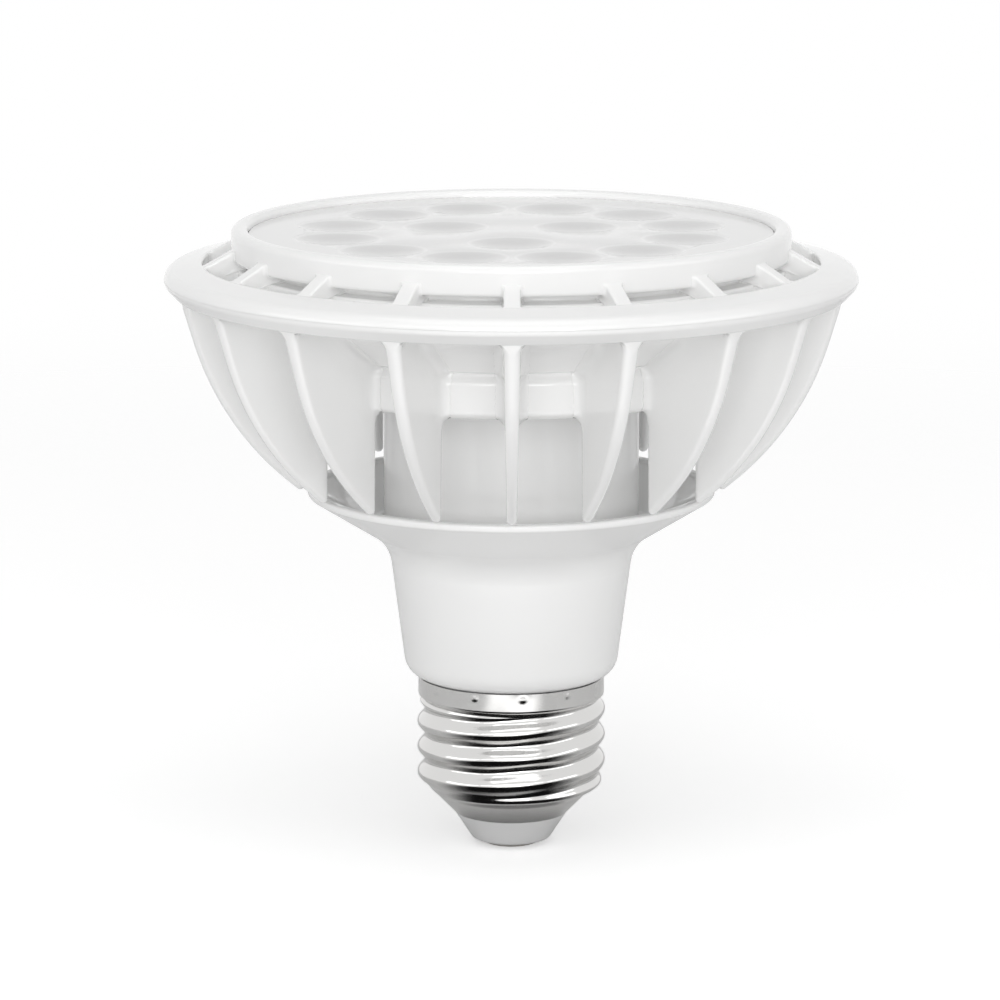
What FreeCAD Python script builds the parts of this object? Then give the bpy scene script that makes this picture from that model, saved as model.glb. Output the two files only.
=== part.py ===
import FreeCAD, Part
import Sketcher
import math
import os

# Reflector spotlight bulb with a finned white housing, a lens plate and a 27 mm screw cap.
# Millimetres, +Z up along the axis, the centre contact rests on Z = 0 and the face looks up.
# Azimuths are measured round +Z from +X. The front of the lamp is -Y, where one fin stands.

doc = FreeCAD.newDocument("par_spotlight_bulb")
sheet = doc.addObject("Spreadsheet::Sheet", "Sizes")
sheet.set("A1", "size")
sheet.set("B1", "value")
pieces = []


# A number that remembers the formula it came from, so that it can place a shape and bind it too
class Size:
    def __init__(self, value, text):
        self.value = value
        self.text = text

    def __add__(self, other):
        other = as_size(other)
        return Size(self.value + other.value, "(" + self.text + " + " + other.text + ")")

    def __sub__(self, other):
        other = as_size(other)
        return Size(self.value - other.value, "(" + self.text + " - " + other.text + ")")

    def __mul__(self, other):
        other = as_size(other)
        return Size(self.value * other.value, "(" + self.text + " * " + other.text + ")")

    def __truediv__(self, other):
        other = as_size(other)
        return Size(self.value / other.value, "(" + self.text + " / " + other.text + ")")

    def __neg__(self):
        return Size(-self.value, "(0 - " + self.text + ")")


def as_size(number):
    return number if isinstance(number, Size) else Size(float(number), repr(float(number)))


def sine(angle):
    return Size(math.sin(math.radians(angle.value)), "sin(" + angle.text + " * 1 deg)")


def cosine(angle):
    return Size(math.cos(math.radians(angle.value)), "cos(" + angle.text + " * 1 deg)")


def root(size):
    return Size(math.sqrt(size.value), "sqrt(" + size.text + ")")


# Screw cap
contact_radius = 4.0
contact_height = 0.6
contact_edge = 0.35
contact_stem_radius = 1.5
contact_stem_height = 3.0
insulator_foot_radius = 5.4
insulator_foot_round = 0.9
insulator_height = 3.9
insulator_lip_height = 2.0
shell_wall = 0.3
shell_mouth_radius = 7.9
shell_shoulder_height = 4.3
shell_shoulder_round = 2.0
thread_root_radius = 12.3
thread_height = 0.75
thread_pitch = 3.629
thread_width = 2.7
thread_turns = 2.9
thread_start = 0.75
thread_azimuth = 124
shell_barrel_height = 12.1
shell_collar_radius = 12.95
shell_collar_height = 3.1
shell_flare_height = 0.5

# Driver housing
housing_wall = 1.8
spigot_clearance = 0.1
spigot_length = 7.5
spigot_step = 0.5
neck_base_radius = 14.5
neck_base_round = 3.0
neck_top_radius = 16.95
neck_height = 18.5
neck_flare_round = 6.0
neck_floor = 3.0
flange_radius = 28.1
flange_rise = 6.2
flange_lip_height = 2.05
flange_lip_wall = 1.5
flange_edge_round = 0.45
tube_radius = 17.6
tube_rise = 20.85
boss_radius = 2.7
boss_circle = 13.2
boss_height = 9.0

# Heat sink: bowl and bezel
floor_thickness = 2.4
collar_drop = 6.5
collar_height = 5.2
collar_wall = 3.3
collar_round = 0.9
collar_lap = 0.2
groove_depth = 1.1
bowl_root_step = 0.2
bowl_hip_inset = 2.0
bowl_hip_rise = 4.1
bowl_shoulder_rise = 3.8
bezel_radius = 38.3
bezel_wall = 2.25
bezel_height = 13.0
bezel_round = 0.95
bezel_inner_round = 0.5
ledge_width = 1.45
ledge_depth = 2.8
well_slope_width = 3.4
well_slope_rise = 3.6
wire_hole_radius = 2.2
wire_hole_offset = 4.6

# Heat sink: outer ring and fins
window_width = 3.9
ring_width = 5.3
ring_drop = 4.7
ring_slope = 1.2
ring_plate = 1.9
ring_height = 4.4
ring_lip_wall = 1.6
ring_lip_root = 2.4
ring_tuck = 1.45
ring_round = 1.0
ring_edge_round = 0.35
fin_count = 18
fin_thickness = 2.2
fin_tip_thickness = 1.4
fin_edge_round = 0.6
fin_flange_clearance = 1.4
fin_point_rise = 0.15
fin_point_round = 0.7
fin_elbow_inset = 5.8
fin_elbow_rise = 9.2
fin_point_straight = 2.0
fin_inner_round = 0.8
spoke_drop = 2.5

# Light engine
pad_thickness = 0.3
board_thickness = 1.6
board_clearance = 0.9
led_side = 3.5
led_base = 0.7
led_dome_radius = 1.3
outer_lens_circle = 24.3
outer_lens_count = 12
inner_lens_circle = 10.4
inner_lens_count = 3
lens_radius = 6.15
lens_neck_radius = 3.1
lens_led_clearance = 0.4
dimple_depth = 0.7
plate_clearance = 0.2
plate_thickness = 1.4
seal_thickness = 0.4
leg_radius = 1.2
leg_circle = 14.0

# Fasteners, each set of three
screw_count = 3
screw_radius = 1.4
screw_clearance = 0.1
screw_head_radius = 2.6
screw_head_height = 1.5
board_screw_circle = 20.0
housing_screw_length = 9.0
recess_radius = 0.9
recess_depth = 0.8

# Driver
circuit_thickness = 1.6
circuit_clearance = 0.25
circuit_top_gap = 0.6
transformer_width = 13.0
transformer_height = 12.0
transformer_core_depth = 6.0
transformer_leg = 3.2
winding_width = 9.2
winding_depth = 10.6
winding_gap = 0.1
transformer_level = 46.0
input_can_radius = 5.0
input_can_height = 13.5
input_can_offset = 4.6
output_can_radius = 4.0
output_can_height = 11.5
output_can_offset = 5.2
can_round = 0.6
film_width = 10.0
film_depth = 4.5
film_height = 9.0
bridge_width = 4.7
bridge_depth = 2.5
bridge_height = 4.0
bridge_offset = 2.4
chip_width = 5.0
chip_depth = 1.5
chip_height = 4.0
chip_offset = 7.5
choke_radius = 4.0
choke_waist_radius = 3.2
choke_height = 8.0
choke_flange = 1.2
choke_offset = 5.4
resistor_radius = 1.7
resistor_length = 9.0
resistor_offset = 10.2
lower_parts_rise = 3.0
connector_width = 5.2
connector_depth = 4.0
connector_height = 3.0
connector_offset = 2.8
lead_radius = 0.6
lead_bend = 2.5
lead_spread = 0.9
lead_overlap = 3.0
lead_offset = 2.0
lead_clearance = 0.2
lens_azimuth_inner = 30
lens_azimuth_outer = 15

# Each size above gets a row of the sheet, and its name then stands for that row as well as for its number
numbers = {name: value for name, value in globals().items() if isinstance(value, (int, float))}
for row, (alias, value) in enumerate(numbers.items(), start=2):
    sheet.set("A" + str(row), alias)
    sheet.set("B" + str(row), str(value))
    sheet.setAlias("B" + str(row), alias)
    globals()[alias] = Size(float(value), "Sizes." + alias)

# Levels, from the centre contact up
insulator_base = contact_height
shell_base = insulator_base + insulator_height
barrel_base = shell_base + shell_shoulder_height
collar_base = barrel_base + shell_barrel_height
neck_base = collar_base + shell_collar_height
neck_top = neck_base + neck_height
flange_edge = neck_top + flange_rise
flange_top = flange_edge + flange_lip_height
floor_under = flange_top + tube_rise
floor_top = floor_under + floor_thickness
face_top = floor_top + bezel_height
ledge_top = face_top - ledge_depth
board_base = floor_top + pad_thickness
board_top = board_base + board_thickness
plate_base = ledge_top + seal_thickness
plate_top = plate_base + plate_thickness

# Radii shared by pieces that fit together
shell_bore = shell_collar_radius - shell_wall
spigot_radius = shell_bore - spigot_clearance
spigot_tip_radius = thread_root_radius - shell_wall - spigot_clearance
spigot_bore = spigot_tip_radius - housing_wall
tube_bore = tube_radius - housing_wall
fin_inner_radius = flange_radius + fin_flange_clearance
collar_radius = fin_inner_radius + collar_lap
bowl_root_radius = collar_radius + bowl_root_step
bowl_hip_radius = bezel_radius - bowl_hip_inset
ring_window_radius = bezel_radius + window_width
ring_radius = ring_window_radius + ring_width
fin_elbow_radius = ring_radius - ring_tuck - fin_elbow_inset
bezel_bore = bezel_radius - bezel_wall
ledge_bore = bezel_bore - ledge_width
well_floor_radius = ledge_bore - well_slope_width
board_radius = well_floor_radius - board_clearance
screw_hole_radius = screw_radius + screw_clearance
plate_radius = bezel_bore - plate_clearance
board_face = circuit_thickness / 2
circuit_base = neck_base + neck_floor
circuit_top = floor_under - boss_height - circuit_top_gap
lower_level = circuit_base + lower_parts_rise


def origin_plane(body, role):
    return [feature for feature in body.Origin.OriginFeatures if feature.Role == role][0]


def new_body(label):
    body = doc.addObject("PartDesign::Body", label)
    body.Label = label
    return body


def new_sketch(body, name, role, level=None):
    sketch = body.newObject("Sketcher::SketchObject", name)
    sketch.AttachmentSupport = [(origin_plane(body, role), "")]
    sketch.MapMode = "FlatFace"
    if level is not None:
        sketch.AttachmentOffset = FreeCAD.Placement(FreeCAD.Vector(0, 0, level.value), FreeCAD.Rotation())
        sketch.setExpression(".AttachmentOffset.Base.z", level.text)
    return sketch


# Ties one point of a sketch to its two coordinates; zero lies on the axis itself
def pin_point(sketch, item, end, across, up):
    for size, kind, axis in ((across, "DistanceX", -2), (up, "DistanceY", -1)):
        if size.value == 0:
            sketch.addConstraint(Sketcher.Constraint("PointOnObject", item, end, axis))
        else:
            index = sketch.addConstraint(Sketcher.Constraint(kind, -1, 1, item, end, size.value))
            sketch.setExpression("Constraints[" + str(index) + "]", size.text)


def bearing(arrow):
    return math.atan2(arrow.y, arrow.x)


# A closed outline through corners (across, up, rounding); a rounding of None leaves the corner sharp
def draw_outline(sketch, corners):
    corners = [(as_size(c[0]), as_size(c[1]), c[2] if len(c) > 2 else None) for c in corners]
    spots = [FreeCAD.Vector(c[0].value, c[1].value, 0) for c in corners]
    total = len(corners)
    entry = []
    leave = []
    for i in range(total):
        before = (spots[i - 1] - spots[i]).normalize()
        after = (spots[(i + 1) % total] - spots[i]).normalize()
        reach = 0.0
        if corners[i][2] is not None:
            reach = corners[i][2].value / math.tan(before.getAngle(after) / 2)
        entry.append(spots[i] + before * reach)
        leave.append(spots[i] + after * reach)
    lines = []
    for i in range(total):
        line = Part.LineSegment(leave[i], entry[(i + 1) % total])
        lines.append(sketch.addGeometry(line, False))
    for i in range(total):
        across, up, rounding = corners[i]
        last = lines[i - 1]
        if rounding is None:
            sketch.addConstraint(Sketcher.Constraint("Coincident", last, 2, lines[i], 1))
            pin_point(sketch, lines[i], 1, across, up)
            continue
        before = (entry[i] - spots[i]).normalize()
        after = (leave[i] - spots[i]).normalize()
        half = before.getAngle(after) / 2
        centre = spots[i] + (before + after).normalize() * (rounding.value / math.sin(half))
        left_turn = after.cross(before).z > 0
        first, second = (1, 2) if left_turn else (2, 1)
        begin, finish = (entry[i], leave[i]) if left_turn else (leave[i], entry[i])
        circle = Part.Circle(centre, FreeCAD.Vector(0, 0, 1), rounding.value)
        turn = Part.ArcOfCircle(circle, bearing(begin - centre), bearing(finish - centre))
        arc = sketch.addGeometry(turn, False)
        sketch.addConstraint(Sketcher.Constraint("Tangent", last, 2, arc, first))
        sketch.addConstraint(Sketcher.Constraint("Tangent", arc, second, lines[i], 1))
        corner = sketch.addGeometry(Part.Point(spots[i]), True)
        sketch.addConstraint(Sketcher.Constraint("PointOnObject", corner, 1, last))
        sketch.addConstraint(Sketcher.Constraint("PointOnObject", corner, 1, lines[i]))
        pin_point(sketch, corner, 1, across, up)
        index = sketch.addConstraint(Sketcher.Constraint("Radius", arc, rounding.value))
        sketch.setExpression("Constraints[" + str(index) + "]", rounding.text)


def draw_circle(sketch, radius, across=0, up=0):
    across, up = as_size(across), as_size(up)
    centre = FreeCAD.Vector(across.value, up.value, 0)
    circle = sketch.addGeometry(Part.Circle(centre, FreeCAD.Vector(0, 0, 1), radius.value), False)
    if across.value == 0 and up.value == 0:
        sketch.addConstraint(Sketcher.Constraint("Coincident", circle, 3, -1, 1))
    else:
        pin_point(sketch, circle, 3, across, up)
    index = sketch.addConstraint(Sketcher.Constraint("Radius", circle, radius.value))
    sketch.setExpression("Constraints[" + str(index) + "]", radius.text)


# A full turn of an outline drawn as (radius, height)
def revolve(body, name, corners):
    sketch = new_sketch(body, name + "Section", "XZ_Plane")
    draw_outline(sketch, corners)
    turn = body.newObject("PartDesign::Revolution", name)
    turn.Profile = sketch
    turn.ReferenceAxis = (sketch, ["V_Axis"])
    turn.Angle = 360
    body.Tip = turn
    return turn


def pad(body, sketch, length, name, kind="PartDesign::Pad", taper=None):
    feature = body.newObject(kind, name)
    feature.Profile = sketch
    feature.setExpression("Length", length.text)
    if taper is not None:
        feature.setExpression("TaperAngle", taper.text)
    body.Tip = feature
    return feature


# A round pad from one level up, its centre on the +Y side at the given distance
def post(body, name, radius, level, length, up=0, taper=None):
    sketch = new_sketch(body, name + "Circle", "XY_Plane", level)
    draw_circle(sketch, radius, 0, up)
    return pad(body, sketch, length, name, taper=taper)


# A round pocket from one level up
def bore(body, name, radius, level, length, up=0, taper=None):
    sketch = new_sketch(body, name + "Circle", "XY_Plane", level)
    draw_circle(sketch, radius, 0, up)
    hole = pad(body, sketch, length, name, "PartDesign::Pocket", taper)
    hole.Reversed = True
    return hole


def ring_of(body, name, features, count):
    pattern = body.newObject("PartDesign::PolarPattern", name)
    pattern.Originals = features
    pattern.Axis = (origin_axis(body), [""])
    pattern.Angle = 360
    pattern.setExpression("Occurrences", count.text)
    body.Tip = pattern
    return pattern


def origin_axis(body):
    return [feature for feature in body.Origin.OriginFeatures if feature.Role == "Z_Axis"][0]


def keep(piece, label):
    piece.Label = label
    pieces.append(piece)


# Screw cap: centre contact with its rivet stem
def make_centre_contact():
    body = new_body("centre_contact")
    revolve(body, "ContactTurn", [
        (0, 0),
        (contact_radius, 0, contact_edge),
        (contact_radius, contact_height),
        (contact_stem_radius, contact_height),
        (contact_stem_radius, contact_height + contact_stem_height),
        (0, contact_height + contact_stem_height),
    ])
    keep(body, "centre_contact")


# Screw cap: insulating cone, with the lip that the shell closes over
def make_cap_insulator():
    slope = (thread_root_radius - shell_mouth_radius) / shell_shoulder_height
    lip_radius = shell_mouth_radius - shell_wall
    body = new_body("cap_insulator")
    revolve(body, "InsulatorTurn", [
        (contact_stem_radius, insulator_base),
        (insulator_foot_radius, insulator_base, insulator_foot_round),
        (shell_mouth_radius, shell_base),
        (lip_radius, shell_base),
        (lip_radius + slope * insulator_lip_height, shell_base + insulator_lip_height),
        (contact_stem_radius, shell_base + insulator_lip_height),
    ])
    keep(body, "cap_insulator")


# Screw cap: drawn shell with its rolled thread
def make_screw_shell():
    flare_top = collar_base + shell_flare_height
    blank = new_body("ShellBlank")
    revolve(blank, "ShellTurn", [
        (shell_mouth_radius, shell_base),
        (thread_root_radius, barrel_base, shell_shoulder_round),
        (thread_root_radius, collar_base),
        (shell_collar_radius, flare_top),
        (shell_collar_radius, neck_base),
        (shell_bore, neck_base),
        (shell_bore, flare_top),
        (thread_root_radius - shell_wall, collar_base),
        (thread_root_radius - shell_wall, barrel_base, shell_shoulder_round),
        (shell_mouth_radius - shell_wall, shell_base),
    ])
    spine = doc.addObject("Part::Helix", "ThreadSpine")
    spine.setExpression("Pitch", thread_pitch.text)
    spine.setExpression("Height", (thread_pitch * thread_turns).text)
    spine.setExpression("Radius", thread_root_radius.text)
    spine.setExpression(".Placement.Base.z", (barrel_base + thread_start).text)
    rib = doc.addObject("Sketcher::SketchObject", "ThreadRib")
    rib.Placement = FreeCAD.Placement(FreeCAD.Vector(0, 0, 0), FreeCAD.Rotation(FreeCAD.Vector(1, 0, 0), 90))
    rib.setExpression(".Placement.Base.z", (barrel_base + thread_start).text)
    draw_rib(rib)
    sweep = doc.addObject("Part::Sweep", "ThreadSweep")
    sweep.Sections = [rib]
    sweep.Spine = (spine, ["Edge1"])
    sweep.Solid = True
    sweep.Frenet = True
    shell = doc.addObject("Part::Fuse", "screw_shell")
    shell.Base = blank
    shell.Tool = sweep
    shell.setExpression(".Placement.Rotation.Angle", thread_azimuth.text + " * 1 deg")
    keep(shell, "screw_shell")


# The rolled rib's section: an arc over the barrel, closed by a chord inside the wall
def draw_rib(sketch):
    root = thread_root_radius - shell_wall / 2
    crest = thread_root_radius + thread_height
    low = FreeCAD.Vector(root.value, -thread_width.value / 2, 0)
    high = FreeCAD.Vector(root.value, thread_width.value / 2, 0)
    top = FreeCAD.Vector(crest.value, 0, 0)
    arc = sketch.addGeometry(Part.Arc(low, top, high), False)
    chord = sketch.addGeometry(Part.LineSegment(high, low), False)
    sketch.addConstraint(Sketcher.Constraint("Coincident", arc, 2, chord, 1))
    sketch.addConstraint(Sketcher.Constraint("Coincident", arc, 1, chord, 2))
    sketch.addConstraint(Sketcher.Constraint("Vertical", chord))
    length = sketch.addConstraint(Sketcher.Constraint("DistanceY", chord, 2, chord, 1, thread_width.value))
    sketch.setExpression("Constraints[" + str(length) + "]", thread_width.text)
    place = sketch.addConstraint(Sketcher.Constraint("DistanceX", -1, 1, chord, 1, root.value))
    sketch.setExpression("Constraints[" + str(place) + "]", root.text)
    sketch.addConstraint(Sketcher.Constraint("PointOnObject", arc, 3, -1))
    peak = sketch.addGeometry(Part.Point(top), True)
    sketch.addConstraint(Sketcher.Constraint("PointOnObject", peak, 1, arc))
    pin_point(sketch, peak, 1, crest, as_size(0))


# Driver housing: spigot, neck, flange and inner tube in one moulding
def make_driver_housing():
    body = new_body("driver_housing")
    revolve(body, "HousingTurn", [
        (spigot_bore, neck_base - spigot_length),
        (spigot_tip_radius, neck_base - spigot_length),
        (spigot_tip_radius, collar_base + shell_flare_height),
        (spigot_radius, collar_base + shell_flare_height + spigot_step),
        (spigot_radius, neck_base),
        (neck_base_radius, neck_base, neck_base_round),
        (neck_top_radius, neck_top, neck_flare_round),
        (flange_radius, flange_edge, flange_edge_round),
        (flange_radius, flange_top, flange_edge_round),
        (flange_radius - flange_lip_wall, flange_top, flange_edge_round),
        (flange_radius - flange_lip_wall, flange_edge + housing_wall / 2, flange_edge_round),
        (tube_radius, neck_top + housing_wall, flange_edge_round),
        (tube_radius, floor_under),
        (tube_bore, floor_under),
        (tube_bore, neck_top + housing_wall / 2),
        (neck_top_radius - housing_wall, neck_top - housing_wall / 2),
        (neck_base_radius - housing_wall / 2, neck_base + neck_floor),
        (spigot_bore, neck_base + neck_floor),
    ])
    boss = post(body, "Boss", boss_radius, floor_under - boss_height, boss_height, boss_circle)
    ring_of(body, "Bosses", [boss], screw_count)
    pilot = bore(body, "Pilot", screw_hole_radius, floor_under - boss_height, boss_height, boss_circle)
    ring_of(body, "Pilots", [pilot], screw_count)
    keep(body, "driver_housing")


# Heat sink: bowl with collar, well, ledge and bezel
def make_bowl():
    collar_foot = floor_under - collar_drop
    hip_level = floor_under + bowl_hip_rise
    body = new_body("Bowl")
    revolve(body, "BowlTurn", [
        (0, floor_under),
        (collar_radius - collar_wall, floor_under),
        (collar_radius - collar_wall, collar_foot),
        (collar_radius, collar_foot, collar_round),
        (collar_radius, collar_foot + collar_height, collar_round),
        (collar_radius - groove_depth, collar_foot + collar_height),
        (collar_radius - groove_depth, floor_under),
        (bowl_root_radius, floor_under),
        (bowl_hip_radius, hip_level),
        (bezel_radius, hip_level + bowl_shoulder_rise),
        (bezel_radius, face_top, bezel_round),
        (bezel_bore, face_top, bezel_inner_round),
        (bezel_bore, ledge_top),
        (ledge_bore, ledge_top),
        (ledge_bore, floor_top + well_slope_rise),
        (well_floor_radius, floor_top),
        (0, floor_top),
    ])
    bore(body, "WireHole", wire_hole_radius, floor_under, floor_thickness, wire_hole_offset)
    under = bore(body, "HousingScrewHole", screw_hole_radius, floor_under, floor_thickness, boss_circle)
    sunk = new_sketch(body, "CountersinkCircle", "XY_Plane", floor_top)
    draw_circle(sunk, screw_head_radius + screw_clearance, 0, boss_circle)
    cone = pad(body, sunk, screw_head_height, "Countersink", "PartDesign::Pocket", countersink_taper())
    ring_of(body, "HousingScrewHoles", [under, cone], screw_count)
    tapped = bore(body, "BoardScrewHole", screw_hole_radius, floor_under, floor_thickness, board_screw_circle)
    ring_of(body, "BoardScrewHoles", [tapped], screw_count)
    return body


# The angle that narrows a countersunk head to its shank over its height
def countersink_taper():
    drop = screw_head_radius - screw_radius
    angle = math.degrees(math.atan(drop.value / screw_head_height.value))
    return Size(-angle, "(0 - atan(" + (drop / screw_head_height).text + ") / 1 deg)")


def make_ring():
    window_level = face_top - ring_drop
    foot = window_level - ring_height
    body = new_body("Ring")
    revolve(body, "RingTurn", [
        (ring_window_radius, window_level, ring_edge_round),
        (ring_radius, window_level - ring_slope, ring_round),
        (ring_radius, window_level - ring_slope * 2, ring_round),
        (ring_radius - ring_tuck, foot, ring_round / 2),
        (ring_radius - ring_tuck - ring_lip_wall, foot, ring_edge_round),
        (ring_radius - ring_lip_root, foot + ring_tuck, ring_edge_round),
        (ring_window_radius, window_level - ring_plate, ring_edge_round),
    ])
    return body


# The radius that turns one run (across, up) into the next, tangent to both at a distance from their corner
def turn_radius(first, second, reach):
    first_length = root(first[0] * first[0] + first[1] * first[1])
    second_length = root(second[0] * second[0] + second[1] * second[1])
    along = first[0] * second[0] + first[1] * second[1]
    aside = first[0] * second[1] - first[1] * second[0]
    return reach * (first_length * second_length + along) / aside


# One fin: drafted sides, a long curved outer edge and a spoke along its top
def make_fins():
    window_level = face_top - ring_drop
    foot = window_level - ring_height
    collar_foot = floor_under - collar_drop
    point = flange_top + fin_point_rise
    inside_collar = collar_radius - collar_wall / 2
    inside_floor = floor_under + floor_thickness / 2
    inside_bezel = bezel_radius - bezel_wall / 2
    hip_level = floor_under + bowl_hip_rise
    wall_half = bezel_wall / 2
    foot_radius = ring_radius - ring_tuck
    lower_run = (fin_elbow_radius - fin_inner_radius, fin_elbow_rise)
    upper_run = (foot_radius - fin_elbow_radius, foot + ring_tuck - point - fin_elbow_rise)
    lower_length = root(lower_run[0] * lower_run[0] + lower_run[1] * lower_run[1])
    belly_round = turn_radius(lower_run, upper_run, lower_length - fin_point_straight)
    body = new_body("Fins")
    sketch = new_sketch(body, "FinOutline", "YZ_Plane")
    draw_outline(sketch, [
        (fin_inner_radius, point, fin_point_round),
        (fin_elbow_radius, point + fin_elbow_rise, belly_round),
        (foot_radius, foot + ring_tuck),
        (ring_radius - ring_lip_root, foot + ring_tuck * 2),
        (ring_window_radius + ring_round / 2, window_level - ring_round / 4),
        (bezel_radius, window_level + spoke_drop),
        (inside_bezel, window_level + spoke_drop),
        (inside_bezel, hip_level + bowl_shoulder_rise),
        (bowl_hip_radius - wall_half, hip_level + wall_half / 2),
        (bowl_root_radius, inside_floor),
        (inside_collar, inside_floor),
        (inside_collar, collar_foot),
        (fin_inner_radius, collar_foot, fin_inner_round),
    ])
    plate = pad(body, sketch, fin_thickness, "FinPlate")
    plate.Midplane = True
    wedges = new_sketch(body, "FinWedges", "XZ_Plane")
    for side in (1, -1):
        draw_outline(wedges, [
            (fin_thickness / 2 * side, window_level),
            (fin_thickness * side, window_level),
            (fin_thickness * side, point),
            (fin_tip_thickness / 2 * side, point),
        ])
    draft = body.newObject("PartDesign::Pocket", "FinDraft")
    draft.Profile = wedges
    draft.Type = "ThroughAll"
    draft.Midplane = True
    body.Tip = draft
    doc.recompute()
    rounds = body.newObject("PartDesign::Fillet", "FinEdges")
    rounds.Base = (draft, outer_edges(draft.Shape))
    rounds.setExpression("Radius", fin_edge_round.text)
    body.Tip = rounds
    doc.recompute()
    pattern = body.newObject("PartDesign::PolarPattern", "FinRing")
    pattern.TransformMode = "Whole shape"
    pattern.Axis = (origin_axis(body), [""])
    pattern.Angle = 360
    pattern.setExpression("Occurrences", fin_count.text)
    body.Tip = pattern
    return body


# The long edges of the fin's free outline: its belly, its point and its inner edge
def outer_edges(shape):
    ring_foot = (face_top - ring_drop - ring_height + ring_tuck).value
    collar_foot = (floor_under - collar_drop).value
    names = []
    for index, edge in enumerate(shape.Edges):
        box = edge.BoundBox
        middle = box.Center
        along_side = box.XMin * box.XMax > 0
        upper = middle.y > bezel_radius.value and middle.z < ring_foot
        if along_side and (upper or middle.z < collar_foot):
            names.append("Edge" + str(index + 1))
    return names


def make_heat_sink():
    bowl = make_bowl()
    ring = make_ring()
    fins = make_fins()
    fused = doc.addObject("Part::MultiFuse", "heat_sink")
    fused.Shapes = [bowl, ring, fins]
    fused.Refine = True
    keep(fused, "heat_sink")


# A block between two corners, each a triple of sizes
def block(name, width, depth, height, left, front, base):
    box = doc.addObject("Part::Box", name)
    box.setExpression("Length", width.text)
    box.setExpression("Width", depth.text)
    box.setExpression("Height", height.text)
    box.setExpression(".Placement.Base.x", left.text)
    box.setExpression(".Placement.Base.y", front.text)
    box.setExpression(".Placement.Base.z", base.text)
    return box


# Stands a body's own axis at a place across the lamp
def stand(body, across, along):
    body.setExpression(".Placement.Base.x", across.text)
    body.setExpression(".Placement.Base.y", along.text)


def make_lens_seal():
    body = new_body("lens_seal")
    revolve(body, "SealTurn", [
        (ledge_bore, ledge_top),
        (plate_radius, ledge_top),
        (plate_radius, plate_base),
        (ledge_bore, plate_base),
    ])
    keep(body, "lens_seal")


# A circle at an azimuth of a ring of lenses
def lens_spot(circle, azimuth):
    return circle * cosine(azimuth), circle * sine(azimuth)


# The lens plate: a disc with a funnel under each dimpled lens and three legs
def make_lens_plate():
    funnel_base = board_top + led_base + led_dome_radius + lens_led_clearance
    funnel_height = plate_base - funnel_base
    spread = (lens_radius - lens_neck_radius) / funnel_height
    taper = Size(math.degrees(math.atan(spread.value)), "(atan(" + spread.text + ") / 1 deg)")
    ball = (lens_radius * lens_radius + dimple_depth * dimple_depth) / (dimple_depth * 2)
    body = new_body("lens_plate")
    post(body, "Plate", plate_radius, plate_base, plate_thickness)
    rings = (
        ("Outer", outer_lens_circle, lens_azimuth_outer, outer_lens_count),
        ("Inner", inner_lens_circle, lens_azimuth_inner, inner_lens_count),
    )
    for name, circle, azimuth, count in rings:
        across, up = lens_spot(circle, azimuth)
        sketch = new_sketch(body, name + "FunnelCircle", "XY_Plane", funnel_base)
        draw_circle(sketch, lens_neck_radius, across, up)
        funnel = pad(body, sketch, funnel_height, name + "Funnel", taper=taper)
        dimple = body.newObject("PartDesign::SubtractiveSphere", name + "Dimple")
        dimple.AttachmentSupport = [(origin_plane(body, "XY_Plane"), "")]
        dimple.MapMode = "FlatFace"
        dimple.setExpression("Radius", ball.text)
        dimple.setExpression(".AttachmentOffset.Base.x", across.text)
        dimple.setExpression(".AttachmentOffset.Base.y", up.text)
        dimple.setExpression(".AttachmentOffset.Base.z", (plate_top - dimple_depth + ball).text)
        ring_of(body, name + "Lenses", [funnel, dimple], count)
    leg = post(body, "Leg", leg_radius, board_top, plate_base - board_top, leg_circle)
    ring_of(body, "Legs", [leg], screw_count)
    keep(body, "lens_plate")


# The pad and the board share the wire hole and the screw holes
def make_disc(label, radius, base, thickness):
    body = new_body(label)
    post(body, label + "Disc", radius, base, thickness)
    bore(body, label + "WireHole", wire_hole_radius, base, thickness, wire_hole_offset)
    hole = bore(body, label + "ScrewHole", screw_hole_radius, base, thickness, board_screw_circle)
    ring_of(body, label + "ScrewHoles", [hole], screw_count)
    keep(body, label)


def make_leds():
    half = led_side / 2
    body = new_body("leds")
    rings = (
        ("Outer", outer_lens_circle, lens_azimuth_outer, outer_lens_count),
        ("Inner", inner_lens_circle, lens_azimuth_inner, inner_lens_count),
    )
    for name, circle, azimuth, count in rings:
        across, up = lens_spot(circle, azimuth)
        sketch = new_sketch(body, name + "LedSquare", "XY_Plane", board_top)
        draw_outline(sketch, [
            (across - half, up - half),
            (across + half, up - half),
            (across + half, up + half),
            (across - half, up + half),
        ])
        base = pad(body, sketch, led_base, name + "LedBase")
        dome = body.newObject("PartDesign::AdditiveSphere", name + "LedDome")
        dome.AttachmentSupport = [(origin_plane(body, "XY_Plane"), "")]
        dome.MapMode = "FlatFace"
        dome.Angle1 = 0
        dome.setExpression("Radius", led_dome_radius.text)
        dome.setExpression(".AttachmentOffset.Base.x", across.text)
        dome.setExpression(".AttachmentOffset.Base.y", up.text)
        dome.setExpression(".AttachmentOffset.Base.z", (board_top + led_base).text)
        ring_of(body, name + "Leds", [base, dome], count)
    keep(body, "leds")


# Pan-head screws that hold the light board to the bowl's floor
def make_board_screws():
    body = new_body("board_screws")
    shank = post(body, "BoardScrewShank", screw_radius, floor_under, board_top - floor_under, board_screw_circle)
    head = post(body, "BoardScrewHead", screw_head_radius, board_top, screw_head_height, board_screw_circle)
    level = board_top + screw_head_height - recess_depth
    recess = bore(body, "BoardScrewRecess", recess_radius, level, recess_depth, board_screw_circle)
    ring_of(body, "BoardScrews", [shank, head, recess], screw_count)
    keep(body, "board_screws")


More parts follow.
